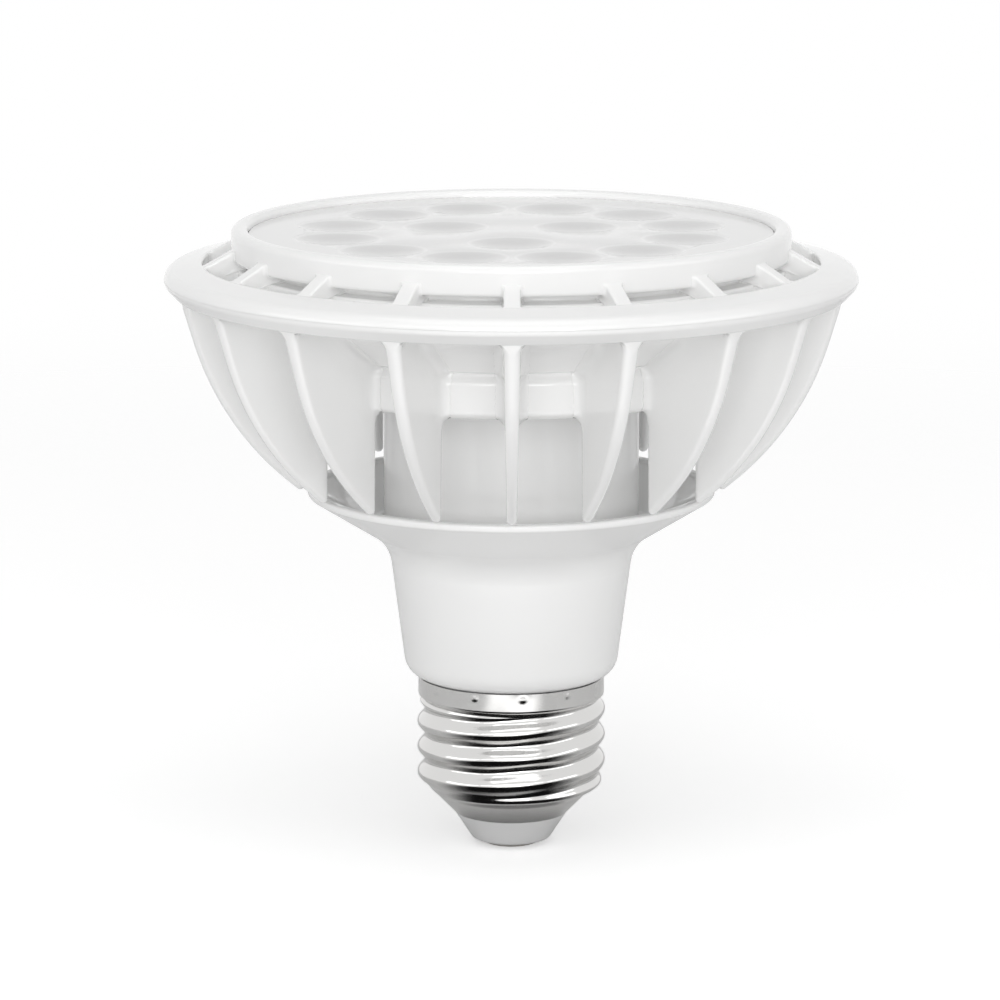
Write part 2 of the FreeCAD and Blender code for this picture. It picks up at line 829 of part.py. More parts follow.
# Countersunk screws that hold the bowl to the driver housing's bosses
def make_housing_screws():
    body = new_body("housing_screws")
    level = floor_top - housing_screw_length
    shank = post(body, "HousingScrewShank", screw_radius, level, housing_screw_length, boss_circle)
    sketch = new_sketch(body, "HousingScrewHeadCircle", "XY_Plane", floor_top)
    draw_circle(sketch, screw_head_radius, 0, boss_circle)
    head = pad(body, sketch, screw_head_height, "HousingScrewHead", taper=countersink_taper())
    head.Reversed = True
    top = floor_top - recess_depth
    recess = bore(body, "HousingScrewRecess", recess_radius, top, recess_depth, boss_circle)
    ring_of(body, "HousingScrews", [shank, head, recess], screw_count)
    keep(body, "housing_screws")


def make_board_connector():
    box = block("ConnectorBox", connector_width, connector_depth, connector_height,
                -(connector_width / 2), -connector_offset, board_top)
    keep(box, "board_connector")


# The driver's circuit board: half of its outline, mirrored; it stands on the neck's inner step
def make_driver_board():
    lower_half = neck_base_radius - housing_wall / 2 - circuit_clearance * 2
    waist_half = neck_top_radius - housing_wall - circuit_clearance * 2
    upper_half = tube_bore - circuit_clearance
    body = new_body("driver_board")
    sketch = new_sketch(body, "CircuitOutline", "XZ_Plane")
    draw_outline(sketch, [
        (0, circuit_base),
        (lower_half, circuit_base),
        (waist_half, neck_top - housing_wall / 2),
        (upper_half, neck_top + housing_wall),
        (upper_half, circuit_top),
        (0, circuit_top),
    ])
    plate = pad(body, sketch, circuit_thickness, "CircuitHalf")
    plate.Midplane = True
    mirror = body.newObject("PartDesign::Mirrored", "Circuit")
    mirror.Originals = [plate]
    mirror.MirrorPlane = (origin_plane(body, "YZ_Plane"), [""])
    body.Tip = mirror
    keep(body, "driver_board")


# Transformer: a ferrite block with two windows, and the wound bobbin round its middle leg
def make_transformer():
    depth_middle = board_face + winding_depth / 2
    side = (transformer_width - transformer_leg) / 2
    window_width = side - transformer_leg / 2
    window_height = transformer_height - transformer_leg
    core_front = depth_middle - transformer_core_depth / 2
    core = block("CoreBlock", transformer_width, transformer_core_depth, transformer_height,
                 -(transformer_width / 2), core_front, transformer_level)
    base = transformer_level + transformer_leg / 2
    left = block("LeftWindow", window_width, transformer_core_depth, window_height,
                 -(transformer_leg / 2) - window_width, core_front, base)
    right = block("RightWindow", window_width, transformer_core_depth, window_height,
                  transformer_leg / 2, core_front, base)
    windows = doc.addObject("Part::Fuse", "Windows")
    windows.Base = left
    windows.Tool = right
    cut = doc.addObject("Part::Cut", "transformer_core")
    cut.Base = core
    cut.Tool = windows
    keep(cut, "transformer_core")
    coil = block("CoilBlock", winding_width, winding_depth, window_height - winding_gap * 2,
                 -(winding_width / 2), board_face, base + winding_gap)
    leg_width = transformer_leg + winding_gap * 2
    leg_depth = transformer_core_depth + winding_gap * 2
    leg = block("CoilHole", leg_width, leg_depth, transformer_height,
                -(leg_width / 2), depth_middle - leg_depth / 2, transformer_level)
    coil_cut = doc.addObject("Part::Cut", "transformer_winding")
    coil_cut.Base = coil
    coil_cut.Tool = leg
    keep(coil_cut, "transformer_winding")


# An electrolytic capacitor's can with its rolled edges, upright beside the circuit board
def make_can(label, radius, height, across, along, level):
    body = new_body(label)
    revolve(body, label + "Turn", [
        (0, level),
        (radius, level, can_round),
        (radius, level + height, can_round),
        (0, level + height),
    ])
    stand(body, across, along)
    keep(body, label)


def make_choke():
    body = new_body("filter_choke")
    revolve(body, "ChokeTurn", [
        (0, lower_level),
        (choke_radius, lower_level),
        (choke_radius, lower_level + choke_flange),
        (choke_waist_radius, lower_level + choke_flange),
        (choke_waist_radius, lower_level + choke_height - choke_flange),
        (choke_radius, lower_level + choke_height - choke_flange),
        (choke_radius, lower_level + choke_height),
        (0, lower_level + choke_height),
    ])
    stand(body, choke_offset, board_face + choke_radius)
    keep(body, "filter_choke")


def make_fuse_resistor():
    rod = doc.addObject("Part::Cylinder", "ResistorRod")
    rod.setExpression("Radius", resistor_radius.text)
    rod.setExpression("Height", resistor_length.text)
    rod.setExpression(".Placement.Base.x", resistor_offset.text)
    rod.setExpression(".Placement.Base.y", (board_face + resistor_radius).text)
    rod.setExpression(".Placement.Base.z", transformer_level.text)
    keep(rod, "fuse_resistor")


# The small blocks on the board's front face
def make_flat_parts():
    film = block("FilmBlock", film_width, film_depth, film_height,
                 -film_width, -board_face - film_depth, lower_level)
    keep(film, "film_capacitor")
    bridge = block("BridgeBlock", bridge_width, bridge_depth, bridge_height,
                   bridge_offset, -board_face - bridge_depth, lower_level)
    keep(bridge, "bridge_rectifier")
    chip = block("ChipBlock", chip_width, chip_depth, chip_height,
                 -chip_offset, -board_face - chip_depth, transformer_level)
    keep(chip, "control_chip")


# A round lead along straight runs joined by tangent arcs
def make_lead(label, points):
    spots = [FreeCAD.Vector(*[as_size(value).value for value in point]) for point in points]
    edges = []
    start = spots[0]
    for i in range(1, len(spots) - 1):
        before = (spots[i - 1] - spots[i]).normalize()
        after = (spots[i + 1] - spots[i]).normalize()
        half = before.getAngle(after) / 2
        reach = lead_bend.value / math.tan(half)
        middle = spots[i] + (before + after).normalize() * (lead_bend.value / math.sin(half) - lead_bend.value)
        entry = spots[i] + before * reach
        leave = spots[i] + after * reach
        edges.append(Part.LineSegment(start, entry).toShape())
        edges.append(Part.Arc(entry, middle, leave).toShape())
        start = leave
    edges.append(Part.LineSegment(start, spots[-1]).toShape())
    path = Part.Wire(edges)
    section = Part.Wire(Part.makeCircle(lead_radius.value, spots[0], spots[1] - spots[0]))
    lead = doc.addObject("Part::Feature", label)
    lead.Shape = path.makePipeShell([section], True, True)
    length = sum(edge.Length for edge in edges)
    expected = math.pi * lead_radius.value ** 2 * length
    if abs(lead.Shape.Volume - expected) > expected / 50:
        raise RuntimeError(label + " is not as long as its route")
    keep(lead, label)


def make_leads():
    along = board_face + lead_radius
    contact_top = contact_height + contact_stem_height
    solder_level = circuit_base + lead_overlap
    wall_spot = thread_root_radius - shell_wall - lead_radius - lead_clearance
    make_lead("live_lead", [
        (0, 0, contact_top),
        (0, 0, barrel_base + lead_bend),
        (lead_offset, along, neck_base - lead_bend * 2),
        (lead_offset, along, solder_level),
    ])
    make_lead("neutral_lead", [
        (-wall_spot, along, barrel_base + lead_bend),
        (-wall_spot, along, neck_base - spigot_length - lead_bend),
        (-lead_offset, along, neck_base - lead_bend),
        (-lead_offset, along, solder_level),
    ])
    entry_level = board_top + connector_height / 2
    side = connector_depth - connector_offset
    for label, across in (("led_lead_plus", lead_spread), ("led_lead_minus", -lead_spread)):
        make_lead(label, [
            (across, along, circuit_top - lead_overlap),
            (across, along, circuit_top + lead_bend),
            (across, wire_hole_offset, floor_under - lead_bend),
            (across, wire_hole_offset, entry_level),
            (across, side, entry_level),
        ])


make_centre_contact()
make_cap_insulator()
make_screw_shell()
make_driver_housing()
make_heat_sink()
make_lens_seal()
make_lens_plate()
make_disc("thermal_pad", board_radius, floor_top, pad_thickness)
make_disc("led_board", board_radius, board_base, board_thickness)
make_leds()
make_board_screws()
make_housing_screws()
make_board_connector()
make_driver_board()
make_transformer()
make_can("input_capacitor", input_can_radius, input_can_height, -input_can_offset,
         board_face + input_can_radius, lower_level)
make_can("output_capacitor", output_can_radius, output_can_height, output_can_offset,
         -board_face - output_can_radius, transformer_level)
make_choke()
make_fuse_resistor()
make_flat_parts()
make_leads()

doc.recompute()
broken = [item.Name for item in doc.Objects if "Invalid" in item.State or "Error" in item.State]
if broken:
    raise RuntimeError("these did not compute: " + ", ".join(broken))
os.makedirs("parts", exist_ok=True)
for piece in pieces:
    if piece.Shape.isNull() or not piece.Shape.isValid():
        raise RuntimeError(piece.Label + " has no valid shape")
    piece.Shape.exportStep("parts/" + piece.Label + ".step")
    print(piece.Label, len(piece.Shape.Solids), round(piece.Shape.Volume, 2), len(piece.Shape.Faces))
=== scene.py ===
import bmesh
import bpy
import numpy as np
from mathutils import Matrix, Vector


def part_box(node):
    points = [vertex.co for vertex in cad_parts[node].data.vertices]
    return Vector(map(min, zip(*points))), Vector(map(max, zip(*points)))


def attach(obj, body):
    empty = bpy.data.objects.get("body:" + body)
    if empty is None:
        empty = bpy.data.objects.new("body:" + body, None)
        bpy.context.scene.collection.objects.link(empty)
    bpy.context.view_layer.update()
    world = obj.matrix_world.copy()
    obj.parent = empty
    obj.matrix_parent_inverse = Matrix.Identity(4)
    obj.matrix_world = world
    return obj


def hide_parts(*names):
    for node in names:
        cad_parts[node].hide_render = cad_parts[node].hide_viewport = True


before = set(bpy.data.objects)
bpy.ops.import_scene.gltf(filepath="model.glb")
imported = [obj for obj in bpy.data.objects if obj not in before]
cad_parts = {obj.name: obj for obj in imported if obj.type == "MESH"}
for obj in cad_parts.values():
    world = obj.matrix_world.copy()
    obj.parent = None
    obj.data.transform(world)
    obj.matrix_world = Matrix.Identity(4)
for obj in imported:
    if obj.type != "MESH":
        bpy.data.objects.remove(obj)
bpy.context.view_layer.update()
print("frame loaded,", len(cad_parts), "nodes")

# Reflector spotlight bulb, cap down. Outlines are in millimetres as (radius, height) and become metres
# when a mesh is made. Azimuths go round +Z from +X, and the front fin stands at -Y.
mm = 0.001
weldGap = 2e-7  # metres
quarterTurn = 1.57
frontAzimuth = -np.pi / 2
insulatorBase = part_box("cap_insulator")[0].z / mm
shellBase, neckBase = (corner.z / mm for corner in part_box("screw_shell"))
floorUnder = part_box("driver_housing")[1].z / mm
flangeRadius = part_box("driver_housing")[1].x / mm
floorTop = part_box("thermal_pad")[0].z / mm
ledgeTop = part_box("lens_seal")[0].z / mm
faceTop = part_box("heat_sink")[1].z / mm
ringRadius = -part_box("heat_sink")[0].y / mm


# Turns each corner (r, z, rounding) into an arc tangent to both runs, with a point just past each end of it;
# an arc has `steps` steps for each quarter turn
def roundedOutline(corners, closed=True, steps=7, lead=0.12):
    spots = np.array([corner[:2] for corner in corners], float)
    rounds = [corner[2] if len(corner) > 2 else 0.0 for corner in corners]
    total = len(spots)
    points = []
    for i in range(total):
        here = spots[i]
        if rounds[i] <= 0 or (not closed and i in (0, total - 1)):
            points.append(here)
            continue
        back, ahead = spots[i - 1] - here, spots[(i + 1) % total] - here
        backRun, aheadRun = np.linalg.norm(back), np.linalg.norm(ahead)
        back, ahead = back / backRun, ahead / aheadRun
        half = np.arccos(np.clip(back @ ahead, -1, 1)) / 2
        reach = rounds[i] / np.tan(half)
        centre = here + (back + ahead) / np.linalg.norm(back + ahead) * rounds[i] / np.sin(half)
        first, last = here + back * reach - centre, here + ahead * reach - centre
        turn = np.arctan2(first[0] * last[1] - first[1] * last[0], first @ last)
        angles = np.linspace(0, turn, max(3, int(np.ceil(abs(turn) * steps / quarterTurn)) + 1))
        cosines, sines = np.cos(angles), np.sin(angles)
        arc = np.column_stack([first[0] * cosines - first[1] * sines, first[0] * sines + first[1] * cosines])
        if reach + lead < backRun / 2:
            points.append(here + back * (reach + lead))
        points.extend(arc + centre)
        if reach + lead < aheadRun / 2:
            points.append(here + ahead * (reach + lead))
    return np.array(points)


# Millimetre points and faces to a smooth closed mesh in metres, with its faces turned outwards
def finishMesh(name, points, faces, sharpAngle=38):
    mesh = bpy.data.meshes.new(name)
    mesh.from_pydata((points * mm).tolist(), [], faces.tolist())
    work = bmesh.new()
    work.from_mesh(mesh)
    bmesh.ops.remove_doubles(work, verts=work.verts, dist=weldGap)
    bmesh.ops.recalc_face_normals(work, faces=work.faces)
    work.to_mesh(mesh)
    work.free()
    mesh.shade_smooth()
    mesh.set_sharp_from_angle(angle=np.radians(sharpAngle))
    piece = bpy.data.objects.new(name, mesh)
    bpy.context.scene.collection.objects.link(piece)
    return piece


# The quads of a grid of points P(u, v); a wrapped direction joins its last line to its first
def gridFaces(rows, columns, wrapRows=True, wrapColumns=True):
    index = np.arange(rows * columns).reshape(rows, columns)
    if wrapRows:
        index = np.vstack([index, index[:1]])
    if wrapColumns:
        index = np.hstack([index, index[:, :1]])
    return np.stack([index[:-1, :-1], index[1:, :-1], index[1:, 1:], index[:-1, 1:]], axis=-1).reshape(-1, 4)


# P(u, v) = (r(v) cos u, r(v) sin u, z(v)), a full turn of the outline; an open outline ends on the axis
def revolved(name, outline, segments=288, closed=True):
    turn = np.linspace(0, 2 * np.pi, segments, endpoint=False)
    radius, height = outline[:, :1], outline[:, 1:]
    grid = np.stack([radius * np.cos(turn), radius * np.sin(turn), height + 0 * turn], axis=-1)
    return finishMesh(name, grid.reshape(-1, 3), gridFaces(len(outline), segments, wrapRows=closed))


# A merged, smooth-shaded copy of a CAD node's own mesh
def smoothCopy(name, node, sharpAngle=30):
    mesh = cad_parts[node].data.copy()
    mesh.materials.clear()
    work = bmesh.new()
    work.from_mesh(mesh)
    bmesh.ops.remove_doubles(work, verts=work.verts, dist=weldGap / 2)
    work.to_mesh(mesh)
    work.free()
    mesh.shade_smooth()
    mesh.set_sharp_from_angle(angle=np.radians(sharpAngle))
    piece = bpy.data.objects.new(name, mesh)
    bpy.context.scene.collection.objects.link(piece)
    return piece


# Rides a finished piece on the lamp, hides the CAD node it stands for and gives it its finish
def settle(piece, node, material):
    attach(piece, "root")
    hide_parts(node)
    piece.data.materials.append(material)


# Fine waviness of a sprayed or moulded skin: a height for a Bump and a mask for the roughness
def skinGroup():
    group = bpy.data.node_groups.new("skinWaviness", "ShaderNodeTree")
    for label, value in (("Scale", 400.0), ("Mask Low", 0.0), ("Mask High", 1.0)):
        socket = group.interface.new_socket(label, in_out="INPUT", socket_type="NodeSocketFloat")
        socket.default_value = value
    for label in ("Height", "Mask"):
        group.interface.new_socket(label, in_out="OUTPUT", socket_type="NodeSocketFloat")
    nodes, links = group.nodes, group.links
    entry, leave = nodes.new("NodeGroupInput"), nodes.new("NodeGroupOutput")
    place = nodes.new("ShaderNodeTexCoord")
    fine, broad = nodes.new("ShaderNodeTexNoise"), nodes.new("ShaderNodeTexNoise")
    fine.inputs["Detail"].default_value = 2.0
    broad.inputs["Scale"].default_value = 60.0
    spread = nodes.new("ShaderNodeMapRange")
    links.new(place.outputs["Object"], fine.inputs["Vector"])
    links.new(place.outputs["Object"], broad.inputs["Vector"])
    links.new(entry.outputs["Scale"], fine.inputs["Scale"])
    links.new(broad.outputs["Fac"], spread.inputs["Value"])
    links.new(entry.outputs["Mask Low"], spread.inputs["To Min"])
    links.new(entry.outputs["Mask High"], spread.inputs["To Max"])
    links.new(fine.outputs["Fac"], leave.inputs["Height"])
    links.new(spread.outputs["Result"], leave.inputs["Mask"])
    return group


# One finish: a Principled BSDF whose roughness and bump come from the skin group
def finish(name, look):
    material = bpy.data.materials.new(name)
    material.use_nodes = True
    nodes, links = material.node_tree.nodes, material.node_tree.links
    shader = nodes["Principled BSDF"]
    for socket, value in look["sockets"].items():
        shader.inputs[socket].default_value = value
    skin = nodes.new("ShaderNodeGroup")
    skin.node_tree = skinTree
    skin.inputs["Scale"].default_value = look["grain"]
    skin.inputs["Mask Low"].default_value, skin.inputs["Mask High"].default_value = look["roughness"]
    bump = nodes.new("ShaderNodeBump")
    bump.inputs["Strength"].default_value = look["bump"]
    bump.inputs["Distance"].default_value = look["depth"] * mm
    links.new(skin.outputs["Mask"], shader.inputs["Roughness"])
    links.new(skin.outputs["Height"], bump.inputs["Height"])
    links.new(bump.outputs["Normal"], shader.inputs["Normal"])
    return material


skinTree = skinGroup()
paintLook = {"sockets": {"Base Color": (0.925, 0.925, 0.92, 1), "Coat Weight": 1.0, "Coat Roughness": 0.09},
             "grain": 320, "roughness": (0.45, 0.55), "bump": 0.06, "depth": 0.05}
mouldLook = {"sockets": {"Base Color": (0.91, 0.91, 0.905, 1), "Coat Weight": 0.8, "Coat Roughness": 0.06},
             "grain": 260, "roughness": (0.45, 0.55), "bump": 0.05, "depth": 0.05}
chromeLook = {"sockets": {"Base Color": (0.69, 0.685, 0.675, 1), "Metallic": 1.0},
              "grain": 180, "roughness": (0.09, 0.16), "bump": 0.06, "depth": 0.05}
insulatorLook = {"sockets": {"Base Color": (0.64, 0.64, 0.64, 1)},
                 "grain": 700, "roughness": (0.42, 0.52), "bump": 0.15, "depth": 0.04}
contactLook = {"sockets": {"Base Color": (0.62, 0.60, 0.57, 1), "Metallic": 1.0},
               "grain": 300, "roughness": (0.28, 0.4), "bump": 0.1, "depth": 0.05}
lensLook = {"sockets": {"Base Color": (0.62, 0.62, 0.615, 1), "Coat Weight": 1.0, "Coat Roughness": 0.06},
            "grain": 1500, "roughness": (0.4, 0.5), "bump": 0.1, "depth": 0.05}
paint = finish("whitePaint", paintLook)
moulding = finish("whiteMoulding", mouldLook)
chrome = finish("platedShell", chromeLook)
insulatorFinish = finish("insulator", insulatorLook)
contactFinish = finish("contactMetal", contactLook)
lensFinish = finish("lensPlastic", lensLook)
# Painted shade and highlight of each lens: darker greys towards its axis stand for the shaded hollow seen
# through the clear lens, and the lighter grey just inside its rim is a painted highlight
lensPaintedShadeAndHighlight = ((0.0, 0.57), (0.60, 0.61), (0.86, 0.68), (0.95, 0.84), (1.0, 0.75))  # distance, grey
lensBlue = 0.995  # a trace warmer than grey


# Paints shade and highlight into a finish's colour by the piece's own "lensField": a grey for each distance
# from the nearest lens's axis, darker towards the axis as painted shade and lighter just inside the rim as a
# painted highlight
def paintLensShadeAndHighlight(material, paintedGreys):
    nodes, links = material.node_tree.nodes, material.node_tree.links
    field, ramp = nodes.new("ShaderNodeAttribute"), nodes.new("ShaderNodeValToRGB")
    field.attribute_name = "lensField"
    stops = ramp.color_ramp.elements
    while len(stops) < len(paintedGreys):
        stops.new(0.5)
    for stop, (place, grey) in zip(stops, paintedGreys):
        stop.position = place
    for stop, (place, grey) in zip(stops, paintedGreys):
        stop.color = (grey, grey, grey * lensBlue, 1)
    links.new(field.outputs["Fac"], ramp.inputs["Fac"])
    links.new(ramp.outputs["Color"], nodes["Principled BSDF"].inputs["Base Color"])


paintLensShadeAndHighlight(lensFinish, lensPaintedShadeAndHighlight)
print("finishes made")

# Bowl of the casting: collar, crease, dish, lip and groove behind the windows, bezel, ledge and well
bowlSizes = {
    "collarRadius": 29.7, "collarInner": 26.4, "collarFoot": 65.1, "collarTop": 70.1, "collarRound": 1.2,
    "creaseRadius": 28.9, "creaseDrop": 0.35, "rootRadius": 30.1, "hipRadius": 35.9, "hipRise": 4.1,
    "lipRadius": 37.9, "lipFoot": 79.5, "lipTop": 81.75, "grooveRadius": 35.6, "grooveFoot": 81.95,
    "grooveTop": 82.7, "bezelFoot": 82.9, "footRound": 0.5,
    "bezelRadius": 38.3, "bezelBore": 35.9, "bezelRound": 0.95, "boreRound": 0.8,
    "ledgeBore": 34.6, "wellFloor": 31.2, "wellRise": 3.6,
    "floorRound": 0.4, "skirtRound": 0.5, "creaseRound": 0.35, "rootRound": 0.8, "hipRound": 3.0,
    "lipRound": 1.5, "lipEdge": 0.4, "grooveRound": 0.3, "ledgeRound": 0.2, "wellRound": 1.0,
}


def bowlOutline(s):
    return roundedOutline([
        (0, floorUnder),
        (s["collarInner"], floorUnder, s["floorRound"]),
        (s["collarInner"], s["collarFoot"], s["skirtRound"]),
        (s["collarRadius"], s["collarFoot"], s["collarRound"]),
        (s["collarRadius"], s["collarTop"], s["collarRound"]),
        (s["creaseRadius"], floorUnder - s["creaseDrop"], s["creaseRound"]),
        (s["rootRadius"], floorUnder, s["rootRound"]),
        (s["hipRadius"], floorUnder + s["hipRise"], s["hipRound"]),
        (s["lipRadius"], s["lipFoot"], s["lipRound"]),
        (s["lipRadius"], s["lipTop"], s["lipEdge"]),
        (s["grooveRadius"], s["grooveFoot"], s["grooveRound"]),
        (s["grooveRadius"], s["grooveTop"], s["grooveRound"]),
        (s["bezelRadius"], s["bezelFoot"], s["footRound"]),
        (s["bezelRadius"], faceTop, s["bezelRound"]),
        (s["bezelBore"], faceTop, s["boreRound"]),
        (s["bezelBore"], ledgeTop, s["ledgeRound"]),
        (s["ledgeBore"], ledgeTop, s["ledgeRound"]),
        (s["ledgeBore"], floorTop + s["wellRise"], s["wellRound"]),
        (s["wellFloor"], floorTop, s["wellRound"]),
        (0, floorTop),
    ], closed=False)


bowl = bowlOutline(bowlSizes)
settle(revolved("castingBowl", bowl, closed=False), "heat_sink", paint)

# Outer ring of the casting: a sloping plate with a lip turned down round it
ringSizes = {"window": 42.2, "top": 82.3, "slope": 1.1, "side": 1.75, "foot": 77.9, "tuck": 1.45,
             "lip": 1.6, "lipRoot": 2.4, "plate": 1.9, "topRound": 1.6, "round": 1.0, "edgeRound": 0.35}


def ringOutline(s):
    footRadius = ringRadius - s["tuck"]
    return roundedOutline([
        (s["window"], s["top"], s["edgeRound"]),
        (ringRadius, s["top"] - s["slope"], s["topRound"]),
        (ringRadius, s["top"] - s["slope"] - s["side"], s["round"]),
        (footRadius, s["foot"], s["round"] / 2),
        (footRadius - s["lip"], s["foot"], s["edgeRound"]),
        (ringRadius - s["lipRoot"], s["foot"] + s["tuck"], s["edgeRound"]),
        (s["window"], s["top"] - s["plate"], s["edgeRound"]),
    ])


ring = ringOutline(ringSizes)
settle(revolved("castingRing", ring, segments=360), "heat_sink", paint)
print("bowl and ring turned")

# Fins: one plate with round free edges and fillets where it meets the bowl and the ring
finSizes = {
    "count": 18, "thickness": 2.2, "tipThickness": 1.4, "inner": 28.8, "tip": 50.45, "tipRound": 0.6,
    "slotTop": 65.4, "elbow": (40.25, 60.1), "bellyRound": 41.0, "bellySteps": 40, "footRise": 1.45,
    "edge": 0.65, "fillet": 1.5, "spokeEdge": 0.3, "spokeFillet": 0.5, "spokeLevel": (77.5, 80.5),
    "spokeTop": (37.2, 85.1), "spokeEnd": (42.75, 82.05),
    "tipRows": 26, "tipCrowding": 1.8, "samples": 401, "middleColumns": 7, "wallShare": 2.2,
    "wallColumns": (0, 0.05, 0.19, 0.41, 0.69, 1.0, 1.55),  # distances from a wall
}
# Where the fin's rows run: from a (radius, height) inside the bowl to the belly at a height, or to a point
# inside the ring, and in how many rows
finStations = [
    ((27.9, 66.5), 66.8, 6), ((27.9, 72.3), 71.5, 12), ((30.6, 72.9), 73.3, 3), ((35.2, 76.6), 76.4, 8),
    ((35.2, 79.4), (45.5, 78.7), 6), ((35.2, 81.4), (45.8, 79.7), 5), ((35.2, 83.2), (43.6, 81.2), 6),
    ((37.2, 85.1), (42.75, 82.05), 12),
]


# Nearest distance from each point to a chain of straight runs
def distanceTo(points, chain):
    start, run = chain[:-1], np.diff(chain, axis=0)
    gap = points[:, None] - start
    share = np.clip((gap * run).sum(-1) / np.maximum((run * run).sum(-1), 1e-12), 0, 1)
    return np.linalg.norm(gap - share[..., None] * run, axis=-1).min(axis=1)


# True where a point lies inside a closed outline, by counting the runs that cross its level
def inside(points, outline):
    after = np.roll(outline, -1, axis=0)
    level = points[:, None, 1]
    crossing = (outline[:, 1] > level) != (after[:, 1] > level)
    rise = np.where(after[:, 1] == outline[:, 1], 1e-9, after[:, 1] - outline[:, 1])
    across = outline[:, 0] + (level - outline[:, 1]) / rise * (after[:, 0] - outline[:, 0])
    return (crossing & (points[:, None, 0] < across)).sum(axis=1) % 2 == 1


# Rows from the tip to the spoke: row j runs straight from inner(j) to outer(j)
def finRows(s):
    footRadius = ringRadius - ringSizes["tuck"]
    free = roundedOutline([(s["inner"], s["slotTop"]), (s["inner"], s["tip"], s["tipRound"]),
                           (*s["elbow"], s["bellyRound"]), (footRadius, ringSizes["foot"] + s["footRise"])],
                          closed=False, steps=s["bellySteps"])
    lowest = free[:, 1].argmin()
    innerSide, outerSide = free[:lowest + 1][::-1], free[lowest:]
    climb = np.linspace(0, 1, s["tipRows"]) ** s["tipCrowding"]
    levels = free[lowest, 1] + (s["slotTop"] - free[lowest, 1]) * climb
    inner = [np.column_stack([np.interp(levels, innerSide[:, 1], innerSide[:, 0]), levels])]
    outer = [np.column_stack([np.interp(levels, outerSide[:, 1], outerSide[:, 0]), levels])]
    for spot, target, rows in finStations:
        share = np.linspace(0, 1, rows + 1)[1:, None]
        if spot == finStations[-1][0]:
            share = 1 - (1 - share) ** 2  # crowded at the spoke's top
        inner.append(inner[-1][-1] * (1 - share) + np.array(spot) * share)
        if isinstance(target, tuple):
            outer.append(outer[-1][-1] * (1 - share) + np.array(target) * share)
        else:
            heights = outer[-1][-1][1] * (1 - share[:, 0]) + target * share[:, 0]
            outer.append(np.column_stack([np.interp(heights, outerSide[:, 1], outerSide[:, 0]), heights]))
    return np.vstack(inner), np.vstack(outer), free


# Half thickness of a fin at (r, z): the drafted plate, plus a fillet near a wall, rounded at the free edges
def finThickness(points, free, s):
    share = np.clip((points[:, 1] - s["tip"]) / (ringSizes["top"] - s["tip"]), 0, 1)
    half = (s["tipThickness"] + (s["thickness"] - s["tipThickness"]) * share) / 2
    radius = np.interp(points[:, 1], s["spokeLevel"], (s["fillet"], s["spokeFillet"]))
    for wall in (bowl, np.vstack([ring, ring[:1]])):
        gap = np.where(inside(points, wall), 0, distanceTo(points, wall))
        room = np.clip(radius - gap, 0, radius)
        half = half + radius - np.sqrt(radius ** 2 - room ** 2)
    depth = np.clip(1 - distanceTo(points, free) / s["edge"], 0, 1)
    crown = np.clip(1 - distanceTo(points, np.array([s["spokeTop"], s["spokeEnd"]])) / s["spokeEdge"], 0, 1)
    return half * np.sqrt(1 - depth ** 2) - s["spokeEdge"] * (1 - np.sqrt(1 - crown ** 2))


# P(u, v) = a point of row v at share u of its way, moved half a thickness to either side of the fin's
# plane; columns crowd where a row leaves the bowl and where it enters the ring. Turned to each fin's place
def makeFins(s):
    inner, outer, free = finRows(s)
    length = np.linalg.norm(outer - inner, axis=1)
    along = np.linspace(0, 1, s["samples"])
    samples = inner[:, None] + (outer - inner)[:, None] * along[None, :, None]
    flat = samples.reshape(-1, 2)
    buried = (inside(flat, bowl) | inside(flat, ring)).reshape(len(inner), -1)
    middle = len(along) // 2
    begin = np.where(buried[:, :middle].any(axis=1), middle - buried[:, :middle][:, ::-1].argmax(axis=1), 0)
    end = np.where(buried[:, middle:].any(axis=1), middle + buried[:, middle:].argmax(axis=1), -1)
    begin, end = along[begin] * length, along[end] * length
    near = np.array(s["wallColumns"])
    scale = np.minimum(1, (end - begin) / (s["wallShare"] * near[-1]))[:, None]
    left, right = begin[:, None] + near * scale, end[:, None] - near[::-1] * scale
    between = left[:, -1:] + (right[:, :1] - left[:, -1:]) * np.linspace(0, 1, s["middleColumns"])[1:-1]
    ends = np.zeros((len(length), 1)), length[:, None]
    places = np.hstack([ends[0], left, between, right, ends[1]])
    share = (places / np.maximum(length, 1e-9)[:, None])[..., None]
    plane = inner[:, None] * (1 - share) + outer[:, None] * share
    half = finThickness(plane.reshape(-1, 2), free, s).reshape(plane.shape[:2])
    plane = np.concatenate([plane, plane[-1:]])
    half = np.vstack([half, 0 * half[-1:]])  # closes the spoke's top
    loop = np.concatenate([plane, plane[:, ::-1]], axis=1)
    aside = np.concatenate([half, -half[:, ::-1]], axis=1)
    turn = (frontAzimuth + np.arange(s["count"]) * 2 * np.pi / s["count"])[:, None, None]
    grid = np.stack([loop[..., 0] * np.cos(turn) - aside * np.sin(turn),
                     loop[..., 0] * np.sin(turn) + aside * np.cos(turn),
                     loop[..., 1] + 0 * turn], axis=-1)
    rows, columns = loop.shape[:2]
    faces = gridFaces(rows, columns, wrapRows=False)
    every = faces[None] + (np.arange(s["count"]) * rows * columns)[:, None, None]
    return finishMesh("castingFins", grid.reshape(-1, 3), every.reshape(-1, 4), sharpAngle=50)


settle(makeFins(finSizes), "heat_sink", paint)
print("fins made")

# Driver housing: spigot, neck, flange and tube in one moulding
housingSizes = {
    "wall": 1.8, "spigotFoot": 16.5, "spigotRadius": 11.9, "neckRadius": 14.5, "neckRound": 3.0,
    "neckTopRadius": 16.95, "neckTop": 42.9, "flareRound": 6.0, "flangeEdge": 49.85, "flangeTop": 50.75,
    "edgeRound": 0.4, "lipWall": 1.5, "lipDepth": 0.7, "tubeRadius": 17.6, "spigotRound": 0.2,
    "dishRound": 1.2,
}


